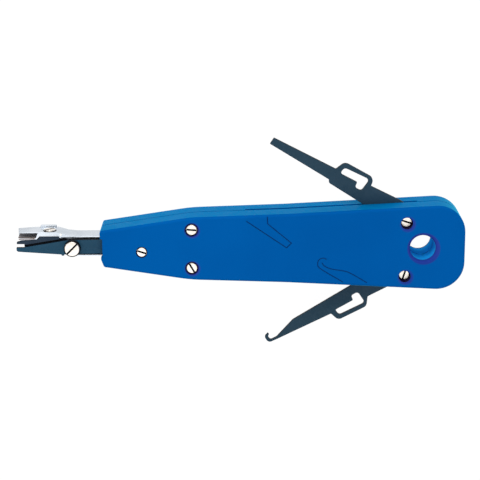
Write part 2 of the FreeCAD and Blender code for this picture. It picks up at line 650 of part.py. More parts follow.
# Outlines in each blade's own frame: the pivot at 0, 0, the blade along +X, its outer side towards +Y.
REMOVAL_OUTLINE = (
    (61.55, 2.11, 0.3), (61.75, -0.74, 0.2), (34.25, -1.59, 0.6), (33.45, -2.79, 0.8), (16.65, -3.59, 20.0),
    (3.3, -4.7, 3.0), (-4.2, -4.0, 4.0), (-4.6, 4.8, 4.4), (5.45, 5.16, 2.0), (18.35, 4.36, 0.5),
    (18.85, 7.76, 2.4), (32.25, 7.61, 2.6), (33.95, 3.41, 0.5),
)
REMOVAL_SLOT = (
    (31.55, 2.71, 1.0), (31.35, 5.61, 1.4), (20.05, 6.41, 1.4), (20.65, 0.81, 1.2), (23.65, 0.61, 1.3),
    (23.85, 3.01, 0.4),
)
HOOK_OUTLINE = (
    (48.58, -3.92, 3.0), (57.88, -0.92, 1.6), (60.78, -1.02, 0.9), (60.88, -2.77, 0.8), (59.98, -3.47, 0.15),
    (60.28, -4.07, 0.1), (62.18, -3.47, 1.1), (61.98, -0.37, 1.6), (58.18, -0.02, 3.0), (33.88, 1.63, 0.4),
    (32.68, 5.43, 2.2), (19.88, 6.08, 2.4), (17.48, 2.73, 0.5), (3.0, 3.4, 3.0), (-3.7, 3.6, 3.5),
    (-4.0, -4.9, 4.2), (7.88, -5.12, 8.0), (20.58, -4.67, 20.0),
)
HOOK_SLOT = (
    (19.98, -0.97, 1.2), (23.08, -0.97, 0.9), (23.38, 1.13, 0.4), (31.68, 1.08, 0.7), (31.38, 3.83, 1.3),
    (19.68, 4.53, 1.2),
)


def build_fold_out_blade(label, outline, slot, pivot, angle):
    """A flat blade with a nail loop and a pivot hole, laid at its pivot and turned to its open place."""
    body = new_body(label)
    pad(body, shape_sketch(body, label + "_plan", "0", outline), label + "_sheet", "Dims.blade_thick")
    pocket(body, shape_sketch(body, label + "_loop_plan", "Dims.blade_thick", slot), label + "_loop",
           "Dims.blade_thick")
    pocket(body, circles(body, label + "_eye_plan", "Dims.blade_thick", [("0", "0", "Dims.eye_radius")]),
           label + "_eye", "Dims.blade_thick")
    return place(body, *pivot, "Dims.blade_bottom", Z_AXIS, angle)


def build_fold_out_blades():
    """Both blades are drawn along +X, so the upper one is mirrored before it turns towards the head."""
    turn = 180.0 - size("open_angle")
    return [
        build_fold_out_blade("removal_blade", mirrored(REMOVAL_OUTLINE), mirrored(REMOVAL_SLOT),
                             PIVOTS[0], turn),
        build_fold_out_blade("hook_blade", HOOK_OUTLINE, HOOK_SLOT, PIVOTS[1], -turn),
    ]


# ---------------------------------------------------------------- sliding head


def slide_outline():
    low, high, end = size("slide_low"), size("slide_high"), size("slide_end_x")
    return [
        (-157.5, -1.8, 0.4), (-141.6, -1.8, 0.2), (-141.0, low, 0.1), (end, low, 0.3), (end, high, 0.3),
        (-143.5, high), (-143.5, 2.2), (-157.5, 2.2, 0.4),
    ]


def build_slide():
    body = new_body("slide")
    pad(body, shape_sketch(body, "slide_plan", "Dims.slide_bottom", slide_outline()), "slide_bar",
        "Dims.slide_top - Dims.slide_bottom")
    low, high, end = size("slide_low"), size("slide_high"), size("rim_end_x")
    thick = size("rim_thick")
    rims = rectangle(-143.5, end, high - thick, high), rectangle(-140.9, end, low, low + thick)
    pad(body, shape_sketch(body, "slide_rim_plan", "Dims.slide_top - 0.5", *rims), "slide_rims",
        "Dims.rim_top - Dims.slide_top + 0.5")
    play = size("barrel_radius") + 0.1
    front = size("nose_screw_x") - size("stroke") - play - 0.2
    rear = size("nose_screw_x") + play + 0.2
    slot = rectangle(front, rear, size("nose_screw_y") - play, size("nose_screw_y") + play, play - 0.01)
    pocket(body, shape_sketch(body, "slide_slot_plan", "Dims.slide_top", slot), "slide_slot", "Dims.depth")
    pocket(body, circles(body, "slide_pivot_plan", "Dims.slide_top",
                         [("Dims.scissor_x", "Dims.scissor_y", "Dims.scissor_shank + 0.02")]),
           "slide_pivot_hole", "7")
    pocket(body, circles(body, "slide_coil_plan", "Dims.slide_top",
                         [("Dims.scissor_x", "Dims.scissor_y", "Dims.torsion_seat")]),
           "slide_coil_seat", "Dims.torsion_depth")
    pocket(body, circles(body, "slide_rivet_plan", "Dims.slide_top",
                         [("Dims.rivet_x", "Dims.rivet_y", "Dims.rivet_hole")]), "slide_rivet_hole",
           "Dims.slide_top - Dims.rivet_bottom + 0.1")
    bore = sketch_on(body, "slide_bore_plan", "YZ_Plane", "Dims.slide_end_x")
    add_circle(bore, "Dims.spring_y", "Dims.spring_z", "Dims.rod_radius + Dims.rod_play")
    pocket(body, bore, "slide_bore", "Dims.rod_bore")
    side = sketch_on(body, "slide_side_plan", "XZ_Plane", "-3")
    add_circle(side, "Dims.sensor_screw_x", "Dims.sensor_screw_z", "Dims.sensor_shank + 0.02")
    pocket(body, side, "slide_side_hole", "4", up=True)
    return body


def sensor_top():
    """Outer side of the block, from the slope behind the screw to the tip."""
    face = size("sensor_face")
    return [
        (-137.6, size("slide_high"), 0.0), (-141.2, size("slide_high") + 0.35, 3.0), (-145.2, face, 1.5),
        (-153.1, face, 0.0), (-161.3, face - 0.15, 0.0),
    ]


def build_sensor_block():
    high = size("slide_high")
    face = size("sensor_face")
    body = new_body("sensor_block")
    seat = [(-161.3, 2.2, 0.0), (-143.5, 2.2, 0.0), (-143.5, high, 0.0)]
    pad(body, shape_sketch(body, "block_plan", "Dims.slide_bottom", sensor_top() + seat), "block",
        "Dims.slide_top - Dims.slide_bottom")
    flange = [(-161.3, 2.3, 0.0), (-153.3, 2.75, 0.0), (-152.1, 3.95, 0.0), (-144.4, 3.95, 0.0),
              (-144.1, 3.3, 0.0), (-143.5, 3.3, 0.0), (-143.5, high, 0.0)]
    pad(body, shape_sketch(body, "block_flange_plan", "Dims.slide_top", sensor_top() + flange),
        "block_flange", "Dims.rim_top - Dims.slide_top")
    lip = rectangle(-152.5, -146.0, face - 0.8, face + size("lip_reach"), 0.3)
    pad(body, shape_sketch(body, "block_lip_plan", "Dims.slide_bottom", lip), "block_lip", "Dims.lip_thick")
    low = size("recess_low")
    recess = [(-163.0, low, 0.0), (-153.6, low, 0.0), (-152.7, face - 0.3, 0.0), (-163.0, face - 0.4, 0.0)]
    pocket(body, shape_sketch(body, "block_recess_plan", "Dims.rim_top", recess), "block_recess",
           "Dims.recess_depth")
    slant = sketch_on(body, "block_slant_plan", "XZ_Plane", "-10")
    add_outline(slant, [(-162.0, 5.8), (-161.1, 5.8), (-160.1, 13.3), (-160.1, 14.0), (-162.0, 14.0)])
    add_outline(slant, [(-162.0, 4.0), (-154.0, 4.0), (-161.1, 5.7), (-162.0, 5.7)])
    pocket(body, slant, "block_slant", "20", up=True)
    hole = sketch_on(body, "block_hole_plan", "XZ_Plane", "-10")
    add_circle(hole, "Dims.sensor_screw_x", "Dims.sensor_screw_z", "Dims.sensor_hole")
    pocket(body, hole, "block_hole", "20", up=True)
    pin = [("Dims.pin_x", "Dims.pin_y", "Dims.pin_radius")]
    pocket(body, circles(body, "block_pin_plan", "Dims.rim_top", pin), "block_pin_hole", "Dims.pin_depth")
    return body


def build_fixed_blade():
    """Lower jaw and shank; the notch between the prongs is the fork that takes the wire."""
    body = new_body("fixed_blade")
    corners = [
        (-161.3, -0.45, 0.0), (-161.3, -1.6, 0.3), (-160.7, -2.1, 0.3), (-143.5, -3.3, 0.0),
        (-143.3, -3.8, 0.2), (-142.5, -3.8, 0.2), (-142.3, -3.3, 0.0), (-139.0, -3.05, 1.0),
        (-120.5, -2.9, 0.4), (-120.5, 2.9, 0.4), (-141.0, 2.6, 1.0), (-157.9, -0.22, 0.0),
        (-158.3, -0.45, 0.0),
    ]
    pad(body, shape_sketch(body, "fixed_plan", "0", corners), "fixed_sheet", "Dims.scissor_thick")
    holes = [("Dims.scissor_x", "Dims.scissor_y", "Dims.scissor_shank + 0.02"),
             ("Dims.rivet_x", "Dims.rivet_y", "Dims.rivet_hole")]
    pocket(body, circles(body, "fixed_hole_plan", "Dims.scissor_thick", holes), "fixed_holes",
           "Dims.scissor_thick")
    return place(body, "0", "0", "Dims.fixed_bottom")


def cam_point(travel):
    """Point of the tail's underside that faces the cam pin after a travel, in the blade's own frame."""
    distance = size("cam_x") - size("scissor_x") - travel
    turn = size("cam_ratio") * travel
    height = size("cam_y") - size("scissor_y")
    pin = Vector(
        distance * math.cos(turn) + height * math.sin(turn),
        height * math.cos(turn) - distance * math.sin(turn),
        0,
    )
    slope = size("cam_ratio") * (size("cam_x") - size("scissor_x") - 2 * travel)
    normal = Vector(-slope, 1, 0).normalize()
    return pin + normal * (size("cam_radius") + size("cam_play"))


def build_moving_blade():
    """Upper jaw, round eye and the tail whose sloping underside rides up on the cam pin."""
    body = new_body("moving_blade")
    travels = [size("stroke") * step / 2 for step in range(3)]
    ramp = [(point.x, point.y, 0.0) for point in reversed([cam_point(travel) for travel in travels])]
    pivot_x, pivot_y = size("scissor_x"), size("scissor_y")
    jaw = [(-158.3, 0.65), (-161.3, 0.65), (-161.3, 1.4), (-158.8, 2.1), (-153.3, 2.6), (-152.7, 2.7),
           (-151.8, 3.8), (-144.5, 3.8), (-144.2, 2.7)]
    upper = [(x - pivot_x, y - pivot_y, 0.1) for x, y in reversed(jaw)]
    lower = [(-158.3 - pivot_x, -0.35 - pivot_y, 0.1), (-145.5 - pivot_x, -1.6 - pivot_y, 0.5)]
    end_x, end_y = ramp[-1][0] + 1.2, ramp[-1][1] + 0.55
    tail_low = [(-2.0, -2.9, 2.0), (3.0, -2.3, 2.0), (19.0, 0.1, 2.0)]
    tail_high = [(end_x, end_y, 0.2), (end_x, end_y + 1.7, 0.5), (23.0, 3.5, 3.0), (11.5, 2.4, 6.0),
                 (1.0, 2.4, 3.0)]
    corners = tail_low + ramp + tail_high + upper + lower
    pad(body, shape_sketch(body, "moving_plan", "0", corners), "moving_sheet", "Dims.scissor_thick")
    pocket(body, circles(body, "moving_hole_plan", "Dims.scissor_thick",
                         [("0", "0", "Dims.scissor_shank + 0.05")]), "moving_hole", "Dims.scissor_thick")
    return place(body, "Dims.scissor_x", "Dims.scissor_y", "Dims.moving_bottom")


def coil(label, mean_radius, wire_radius, length, turns, start, axis, angle):
    """A coil spring: a round wire swept along a helix whose axis starts at a point."""
    spine = doc.addObject("Part::Helix", label + "_spine")
    bind(spine, Radius=mean_radius, Height=length, Pitch=f"({length}) / ({turns})")
    section = doc.addObject("Part::Circle", label + "_section")
    bind(section, Radius=wire_radius)
    place(section, mean_radius, "0", "0", X_AXIS, 90.0)
    spring = doc.addObject("Part::Sweep", label)
    spring.Sections = [section]
    doc.recompute()
    spring.Spine = (spine, [f"Edge{number}" for number in range(1, len(spine.Shape.Edges) + 1)])
    spring.Solid = True
    spring.Frenet = True
    return place(spring, *start, axis, angle)


def build_springs():
    wire = "Dims.spring_wire"
    main = coil("main_spring", "Dims.spring_radius", wire,
                "Dims.spring_rear_x - Dims.spring_front_x - 2 * Dims.spring_wire", "Dims.spring_turns",
                ("Dims.spring_front_x + Dims.spring_wire", "Dims.spring_y", "Dims.spring_z"), Y_AXIS, 90.0)
    torsion = coil("scissor_torsion_spring", "Dims.torsion_radius", "Dims.torsion_wire",
                   "Dims.torsion_height", "Dims.torsion_turns",
                   ("Dims.scissor_x", "Dims.scissor_y", "Dims.slide_top - Dims.torsion_drop"), Z_AXIS, 0.0)
    seat_thick = "Dims.spring_front_x - Dims.slide_end_x"
    seat_at = ("Dims.slide_end_x", "Dims.spring_y", "Dims.spring_z", Y_AXIS, 90.0)
    seat_disc = cylinder("spring_seat_disc", "Dims.seat_radius", seat_thick, *seat_at)
    seat_bore = cylinder("spring_seat_bore", "Dims.rod_radius + Dims.rod_play", seat_thick, *seat_at)
    rod = cylinder("rod_bar", "Dims.rod_radius", "Dims.bulkhead_rear_x - Dims.rod_tip_x",
                   "Dims.rod_tip_x", "Dims.spring_y", "Dims.spring_z", Y_AXIS, 90.0)
    flange = cylinder("rod_flange_disc", "Dims.rod_flange", "Dims.bulkhead_front_x - Dims.spring_rear_x",
                      "Dims.spring_rear_x", "Dims.spring_y", "Dims.spring_z", Y_AXIS, 90.0)
    return [main, torsion, cut("spring_seat", seat_disc, seat_bore),
            fuse("spring_guide_rod", [rod, flange])]


def build_head_fasteners():
    spot = ("Dims.scissor_x", "Dims.scissor_y")
    rivet = ("Dims.rivet_x", "Dims.rivet_y")
    front = "Dims.fixed_bottom + Dims.scissor_thick"
    seat_height = f"{front} + Dims.collar_floor"
    blank = ring("collar_blank", "Dims.collar_radius", "Dims.scissor_shank + 0.05", "Dims.collar_height",
                 *spot, front)
    seat = cylinder("collar_seat", "Dims.scissor_head + 0.03", "Dims.collar_height", *spot, seat_height)
    stem = cylinder("rivet_stem", "Dims.rivet_radius", f"{front} - Dims.rivet_bottom", *rivet,
                    "Dims.rivet_bottom")
    shoulder = cylinder("rivet_shoulder_disc", "Dims.rivet_shoulder", "Dims.fixed_bottom - Dims.slide_top",
                        *rivet, "Dims.slide_top")
    plate = doc.addObject("Part::Box", "wire_guide_plate")
    bind(plate, Length="Dims.guide_length", Width="Dims.guide_thick", Height="Dims.guide_height")
    place(plate, "Dims.guide_front_x", "Dims.recess_low", "Dims.guide_bottom")
    return [
        cut("pivot_collar", blank, seat),
        slotted_screw("scissor_pivot_screw", "Dims.scissor_head", "Dims.scissor_head_height",
                      "Dims.scissor_shank", "Dims.scissor_shank_length", (*spot, seat_height), 45),
        slotted_screw("sensor_screw", "Dims.sensor_head", "Dims.sensor_head_height", "Dims.sensor_shank",
                      "Dims.sensor_shank_length",
                      ("Dims.sensor_screw_x", "Dims.sensor_face", "Dims.sensor_screw_z"), 41, X_AXIS, -90.0,
                      "sensor_slot"),
        cylinder("block_pin", "Dims.pin_radius", "Dims.pin_depth + Dims.pin_rise", "Dims.pin_x", "Dims.pin_y",
                 "Dims.rim_top - Dims.pin_depth"),
        fuse("blade_rivet", [stem, shoulder]),
        plate,
    ]


# ---------------------------------------------------------------- assembly and files


def check_document():
    for item in doc.Objects:
        if "Invalid" in item.State or "Error" in item.State:
            raise RuntimeError(f"{item.Name} did not build: {item.State}")


def write_steps(pieces):
    os.makedirs("parts", exist_ok=True)
    for piece in pieces:
        shape = piece.Shape
        if shape.isNull() or not shape.isValid() or len(shape.Solids) != 1:
            raise RuntimeError(f"{piece.Label} is not one valid solid")
        shape.exportStep(f"parts/{piece.Label}.step")
        print(f"{piece.Label:24s} {shape.Volume:10.1f} mm3")


pieces = [build_rear_shell(), build_front_shell()]
pieces += build_housing_fasteners()
pieces += build_fold_out_blades()
pieces += [build_slide(), build_sensor_block(), build_fixed_blade(), build_moving_blade()]
pieces += build_springs()
pieces += build_head_fasteners()
doc.recompute()
check_document()
write_steps(pieces)
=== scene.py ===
import json
import math

import bmesh
import bpy
from mathutils import Matrix, Vector


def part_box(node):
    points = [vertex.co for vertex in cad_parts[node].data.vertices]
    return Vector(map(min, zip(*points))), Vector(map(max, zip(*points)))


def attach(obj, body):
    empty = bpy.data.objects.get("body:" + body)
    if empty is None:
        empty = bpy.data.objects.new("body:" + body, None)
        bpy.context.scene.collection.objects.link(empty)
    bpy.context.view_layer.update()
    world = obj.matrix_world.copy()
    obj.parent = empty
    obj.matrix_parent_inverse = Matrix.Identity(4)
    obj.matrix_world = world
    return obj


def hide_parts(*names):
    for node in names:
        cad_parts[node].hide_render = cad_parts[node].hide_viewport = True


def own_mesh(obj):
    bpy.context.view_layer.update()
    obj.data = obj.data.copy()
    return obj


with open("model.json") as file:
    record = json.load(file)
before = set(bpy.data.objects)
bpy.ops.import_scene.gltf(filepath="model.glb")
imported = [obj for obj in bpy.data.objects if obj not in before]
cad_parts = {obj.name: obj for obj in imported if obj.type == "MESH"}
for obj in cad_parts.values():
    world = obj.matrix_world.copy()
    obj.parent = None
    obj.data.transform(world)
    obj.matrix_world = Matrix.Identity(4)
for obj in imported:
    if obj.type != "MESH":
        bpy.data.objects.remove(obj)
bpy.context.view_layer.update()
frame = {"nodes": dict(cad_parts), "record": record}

MM = 0.001
nodes = frame["nodes"]
behaviour = frame["record"]["behaviour"]


def axis_of(node):
    """x, y and the top of a part that is round about Z."""
    low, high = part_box(node)
    return (low.x + high.x) / 2, (low.y + high.y) / 2, high.z


# ---------------------------------------------------------------- camera, light and floor

CAMERA_TILT = math.radians(15.0)
CAMERA_ROLL = math.radians(-0.24)
CAMERA_DISTANCE = 0.6375
CAMERA_LENS = 121.2
SENSOR_WIDTH = 36.0
TARGET_Y = 3.70 * MM
front_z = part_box("front_shell")[1].z
head_tip_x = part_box("fixed_blade")[0].x
butt_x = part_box("front_shell")[1].x
target = Vector(((head_tip_x + butt_x) / 2, TARGET_Y, front_z))
FLOOR_HALF = 3.0
FLOOR_GAP = 0.2 * MM
WHITE = (1.0, 1.0, 1.0, 1.0)
LIGHTS = (
    # name, place, diameter, power
    ("overhead", (-0.07, -0.2, 0.8), 1.0, 3.2),
    ("key", (-0.15, 0.75, 0.55), 0.7, 5.0),
    ("left", (-0.85, 0.1, 0.5), 0.6, 1.2),
    ("right", (0.75, -0.1, 0.5), 0.6, 1.0),
)


def make_camera():
    data = bpy.data.cameras.new("camera")
    data.lens = CAMERA_LENS
    data.sensor_width = SENSOR_WIDTH
    camera = bpy.data.objects.new("camera", data)
    turn = Matrix.Rotation(-CAMERA_TILT, 4, "X") @ Matrix.Rotation(CAMERA_ROLL, 4, "Z")
    direction = Vector((0.0, math.sin(CAMERA_TILT), math.cos(CAMERA_TILT)))
    camera.matrix_world = Matrix.Translation(target + CAMERA_DISTANCE * direction) @ turn
    bpy.context.scene.collection.objects.link(camera)
    bpy.context.scene.camera = camera


def area_light(name, location, diameter, power):
    data = bpy.data.lights.new(name, "AREA")
    data.shape = "DISK"
    data.size = diameter
    data.energy = power
    lamp = bpy.data.objects.new(name, data)
    lamp.location = location
    lamp.rotation_euler = (target - Vector(location)).to_track_quat("-Z", "Y").to_euler()
    bpy.context.scene.collection.objects.link(lamp)


def make_stage():
    mesh = bpy.data.meshes.new("floor")
    corners = [(x * FLOOR_HALF, y * FLOOR_HALF, 0.0) for x, y in ((-1, -1), (1, -1), (1, 1), (-1, 1))]
    mesh.from_pydata(corners, [], [(0, 1, 2, 3)])
    floor = bpy.data.objects.new("floor", mesh)
    floor.location.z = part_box("rear_shell")[0].z - FLOOR_GAP
    bpy.context.scene.collection.objects.link(floor)
    material = bpy.data.materials.new("floor")
    material.use_nodes = True
    shader = material.node_tree.nodes["Principled BSDF"]
    shader.inputs["Base Color"].default_value = (0.07, 0.07, 0.07, 1.0)
    shader.inputs["Roughness"].default_value = 0.9
    shader.inputs["Specular IOR Level"].default_value = 0.1
    shader.inputs["Emission Color"].default_value = WHITE
    shader.inputs["Emission Strength"].default_value = 0.97
    mesh.materials.append(material)
    world = bpy.data.worlds.new("studio")
    world.use_nodes = True
    world.node_tree.nodes["Background"].inputs["Color"].default_value = WHITE
    world.node_tree.nodes["Background"].inputs["Strength"].default_value = 0.3
    bpy.context.scene.world = world
    bpy.context.scene.view_settings.view_transform = "Standard"


make_camera()
make_stage()
for light in LIGHTS:
    area_light(*light)

# ---------------------------------------------------------------- materials

# The part of a noise's range over which colours and roughness change.
NOISE_LOW, NOISE_HIGH = 0.35, 0.65
# How far a face of a sheet may lean, as the Z of its normal: an edge below the first, flat above the second.
EDGE_LEAN, FLAT_LEAN = 0.6, 0.95
# How glossy the two are on black oxide.
EDGE_GLOSS, FACE_GLOSS = 0.10, 0.15
# How far a plain metal's roughness goes to either side of its mean.
ROUGHNESS_SPREAD = 0.06


class Surface:
    """A Principled material with helpers for procedural detail."""

    def __init__(self, name, roughness, metallic=0.0, specular=0.5):
        self.material = bpy.data.materials.new(name)
        self.material.use_nodes = True
        self.tree = self.material.node_tree
        self.shader = self.tree.nodes["Principled BSDF"]
        self.shader.inputs["Roughness"].default_value = roughness
        self.shader.inputs["Metallic"].default_value = metallic
        self.shader.inputs["Specular IOR Level"].default_value = specular
        self.position = self.tree.nodes.new("ShaderNodeTexCoord").outputs["Object"]

    def node(self, kind, **values):
        item = self.tree.nodes.new(kind)
        for key, value in values.items():
            item.inputs[key.replace("_", " ")].default_value = value
        return item

    def link(self, start, end):
        self.tree.links.new(start, end)

    def sheen(self, weight, roughness, tint):
        self.shader.inputs["Sheen Weight"].default_value = weight
        self.shader.inputs["Sheen Roughness"].default_value = roughness
        self.shader.inputs["Sheen Tint"].default_value = (*tint, 1.0)

    def noise(self, scale, stretch=(1.0, 1.0, 1.0), detail=3.0):
        """Noise over the part, drawn out along one direction when stretch isn't even."""
        mapping = self.tree.nodes.new("ShaderNodeMapping")
        mapping.inputs["Scale"].default_value = stretch
        self.link(self.position, mapping.inputs["Vector"])
        item = self.node("ShaderNodeTexNoise", Scale=scale, Detail=detail)
        self.link(mapping.outputs["Vector"], item.inputs["Vector"])
        return item.outputs["Fac"]

    def two_tone(self, source, low, high):
        """A colour that goes from low to high with a noise."""
        item = self.tree.nodes.new("ShaderNodeValToRGB")
        elements = item.color_ramp.elements
        for element, place, colour in zip(elements, (NOISE_LOW, NOISE_HIGH), (low, high)):
            element.position = place
            element.color = (*colour, 1.0)
        self.link(source, item.inputs["Fac"])
        return item.outputs["Color"]

    def colour(self, source, low, high):
        self.link(self.two_tone(source, low, high), self.shader.inputs["Base Color"])

    def facing(self):
        """1 on the flat faces of a sheet that lies in the XY plane, 0 on its edges."""
        split = self.tree.nodes.new("ShaderNodeSeparateXYZ")
        coordinates = self.tree.nodes.new("ShaderNodeTexCoord")
        self.link(coordinates.outputs["Normal"], split.inputs["Vector"])
        size = self.tree.nodes.new("ShaderNodeMath")
        size.operation = "ABSOLUTE"
        self.link(split.outputs["Z"], size.inputs[0])
        return self.scaled(size.outputs["Value"], 0.0, 1.0, EDGE_LEAN, FLAT_LEAN)

    def scaled(self, source, low, high, start=0.0, end=1.0):
        """Low to high as the source goes from start to end."""
        item = self.node("ShaderNodeMapRange")
        for key, value in (("From Min", start), ("From Max", end), ("To Min", low), ("To Max", high)):
            item.inputs[key].default_value = value
        self.link(source, item.inputs["Value"])
        return item.outputs["Result"]

    def mixed(self, factor, low, high):
        item = self.tree.nodes.new("ShaderNodeMix")
        item.data_type = "RGBA"
        self.link(factor, item.inputs["Factor"])
        self.link(low, item.inputs["A"])
        self.link(high, item.inputs["B"])
        return item.outputs["Result"]

    def near_axis(self, x, y, inner, outer):
        """1 within the inner radius of an axis along Z, 0 outside the outer one."""
        flat = self.tree.nodes.new("ShaderNodeVectorMath")
        flat.operation = "MULTIPLY"
        flat.inputs[1].default_value = (1.0, 1.0, 0.0)
        self.link(self.position, flat.inputs[0])
        away = self.tree.nodes.new("ShaderNodeVectorMath")
        away.operation = "DISTANCE"
        away.inputs[1].default_value = (x, y, 0.0)
        self.link(flat.outputs["Vector"], away.inputs[0])
        return self.scaled(away.outputs["Value"], 1.0, 0.0, inner, outer)

    def roughness(self, source, low, high):
        self.link(self.scaled(source, low, high, NOISE_LOW, NOISE_HIGH), self.shader.inputs["Roughness"])

    def bump(self, layers):
        """Stacked bumps; a layer is (source, height in metres)."""
        normal = None
        for source, height in layers:
            item = self.tree.nodes.new("ShaderNodeBump")
            item.inputs["Strength"].default_value = 1.0
            item.inputs["Distance"].default_value = height
            self.link(source, item.inputs["Height"])
            if normal is not None:
                self.link(normal, item.inputs["Normal"])
            normal = item.outputs["Normal"]
        self.link(normal, self.shader.inputs["Normal"])


def housing_blue(name, painted_shades=()):
    """Satin blue moulding that goes cyan where it is seen at a low angle.

    A painted shade is (x, y, inner radius, outer radius, shade) round a hole's softened edge or a well: a
    darker colour painted on the face, which fades out between the two radii."""
    surface = Surface(name, 0.42, specular=0.004)
    surface.sheen(0.75, 0.35, (0.0, 0.62, 0.82))
    colour = surface.two_tone(surface.noise(25.0, detail=2.0), (0.0, 0.088, 0.345), (0.0, 0.098, 0.375))
    # Painted shade: near each axis the blue is mixed towards a darker colour.
    for x, y, inner, outer, shade in painted_shades:
        tint = surface.two_tone(surface.noise(60.0), *shade)
        colour = surface.mixed(surface.near_axis(x, y, inner, outer), colour, tint)
    surface.link(colour, surface.shader.inputs["Base Color"])
    surface.roughness(surface.noise(160.0), 0.38, 0.48)
    surface.bump([(surface.noise(420.0), 0.000012), (surface.noise(2600.0), 0.000006)])
    return surface.material


def blade_black(name, low, high):
    """Black oxide: blasted faces, duller along the sheared edges, where the darker colour is painted shade.
    """
    surface = Surface(name, 0.5)
    grain = surface.noise(900.0)
    face = surface.two_tone(surface.noise(70.0), low, high)
    # Painted shade: the edges' colour is darker than the faces'.
    edge = surface.two_tone(grain, (0.002, 0.003, 0.006), (0.006, 0.008, 0.013))
    facing = surface.facing()
    surface.link(surface.mixed(facing, edge, face), surface.shader.inputs["Base Color"])
    surface.link(surface.scaled(facing, EDGE_GLOSS, FACE_GLOSS), surface.shader.inputs["Specular IOR Level"])
    surface.roughness(grain, 0.42, 0.58)
    surface.bump([(grain, 0.00001)])
    return surface.material


def washer_black():
    surface = Surface("washer_black", 0.55, specular=0.05)
    surface.colour(surface.noise(300.0), (0.001, 0.0012, 0.002), (0.004, 0.0045, 0.007))
    return surface.material


def well_shadow():
    surface = Surface("well_shadow", 0.7, specular=0.05)
    surface.colour(surface.noise(300.0), (0.008, 0.004, 0.035), (0.016, 0.008, 0.055))
    return surface.material


def seam_shade():
    surface = Surface("seam_shade", 0.7, specular=0.02)
    surface.colour(surface.noise(300.0), (0.0, 0.018, 0.085), (0.001, 0.028, 0.12))
    return surface.material


def rim_painted_shade():
    """Painted shade: the housing's blue turned violet on the hole's rounded edge, as where it turns away
    from the light.
    """
    surface = Surface("rim_painted_shade", 0.5, specular=0.0)
    surface.colour(surface.noise(60.0), *PAINTED_VIOLET_SHADE)
    return surface.material


def bore_painted_light():
    """Painted light: a brighter blue on the hanging hole's wall, standing in for the light that the floor
    below sends in from behind.
    """
    surface = Surface("bore_painted_light", 0.6, specular=0.0)
    surface.colour(surface.noise(60.0), (0.010, 0.34, 0.74), (0.016, 0.38, 0.80))
    return surface.material


def guide_edge():
    surface = Surface("guide_edge", 0.45, metallic=0.6)
    streaks = surface.noise(500.0, stretch=(0.05, 1.0, 1.0))
    surface.colour(streaks, (0.22, 0.17, 0.15), (0.36, 0.30, 0.28))
    surface.bump([(streaks, 0.00001)])
    return surface.material


def engraving_ink():
    surface = Surface("engraving_ink", 0.7, specular=0.05)
    surface.colour(surface.noise(200.0), (0.001, 0.022, 0.115), (0.002, 0.032, 0.15))
    return surface.material


def head_bright():
    surface = Surface("head_bright", 0.3, metallic=1.0)
    brushed = surface.noise(500.0, stretch=(0.08, 1.0, 1.0))
    surface.colour(surface.noise(120.0), (0.53, 0.575, 0.63), (0.62, 0.665, 0.72))
    surface.roughness(brushed, 0.24, 0.36)
    surface.bump([(brushed, 0.000008)])
    return surface.material


def guide_brown():
    surface = Surface("guide_brown", 0.4, metallic=0.7)
    streaks = surface.noise(500.0, stretch=(0.05, 1.0, 1.0))
    surface.colour(streaks, (0.07, 0.055, 0.05), (0.30, 0.25, 0.23))
    surface.bump([(streaks, 0.00002)])
    return surface.material


def screw_nickel():
    surface = Surface("screw_nickel", 0.32, metallic=0.9)
    turned = surface.noise(900.0)
    surface.colour(surface.noise(250.0), (0.72, 0.66, 0.59), (0.88, 0.84, 0.79))
    surface.roughness(turned, 0.26, 0.38)
    surface.bump([(turned, 0.000006)])
    return surface.material


def plain_metal(name, low, high, roughness):
    surface = Surface(name, roughness, metallic=1.0)
    grain = surface.noise(700.0)
    surface.colour(grain, low, high)
    surface.roughness(grain, roughness - ROUGHNESS_SPREAD, roughness + ROUGHNESS_SPREAD)
    return surface.material


# Painted shade colours: violet for the hole's rounded edge and the halos on the side away from the light,
# navy for a dark ring round the clamp screws' wells.
PAINTED_VIOLET_SHADE = ((0.016, 0.041, 0.28), (0.024, 0.050, 0.32))
PAINTED_NAVY_SHADE = ((0.006, 0.008, 0.085), (0.010, 0.012, 0.11))
MATERIALS = {
    "housing_blue": housing_blue("housing_blue"),
    "blade_black": blade_black("blade_black", (0.012, 0.040, 0.066), (0.017, 0.049, 0.080)),
    "washer_black": washer_black(),
    "head_bright": head_bright(),
    "guide_brown": guide_brown(),
    "screw_nickel": screw_nickel(),
    "insert_brass": plain_metal("insert_brass", (0.66, 0.45, 0.16), (0.78, 0.56, 0.24), 0.3),
    "inner_steel": plain_metal("inner_steel", (0.45, 0.46, 0.48), (0.58, 0.59, 0.61), 0.3),
    "spring_steel": plain_metal("spring_steel", (0.28, 0.29, 0.31), (0.40, 0.41, 0.43), 0.35),
}
SHADOW = well_shadow()
SEAM = seam_shade()
RIM_PAINTED_SHADE = rim_painted_shade()
BORE_PAINTED_LIGHT = bore_painted_light()
GUIDE_EDGE = guide_edge()
INK = engraving_ink()

# ---------------------------------------------------------------- finishes of the CAD's parts

slots = {part["node"]: part["material_slot"] for part in frame["record"]["subparts"]}
bodies = {node: body for body, members in behaviour["bodies"].items() for node in members}

# Screws with their slots and, where they are sunk, their wells, in millimetres and degrees.
SCREWS = (
    # node, head radius, slot's direction, well radius, height of the well's floor
    ("housing_screw_nose", 1.95, -18.0, 2.3, 17.4),
    ("housing_screw_upper", 2.15, -5.0, 2.5, 17.4),
    ("housing_screw_lower", 2.15, -60.0, 2.5, 17.4),
    ("knife_pivot_screw", 2.1, -18.0, 2.4, 14.8),
    ("hook_pivot_screw", 2.1, 72.0, 2.4, 14.8),
    ("scissor_pivot_screw", 2.92, 45.0, None, None),
)
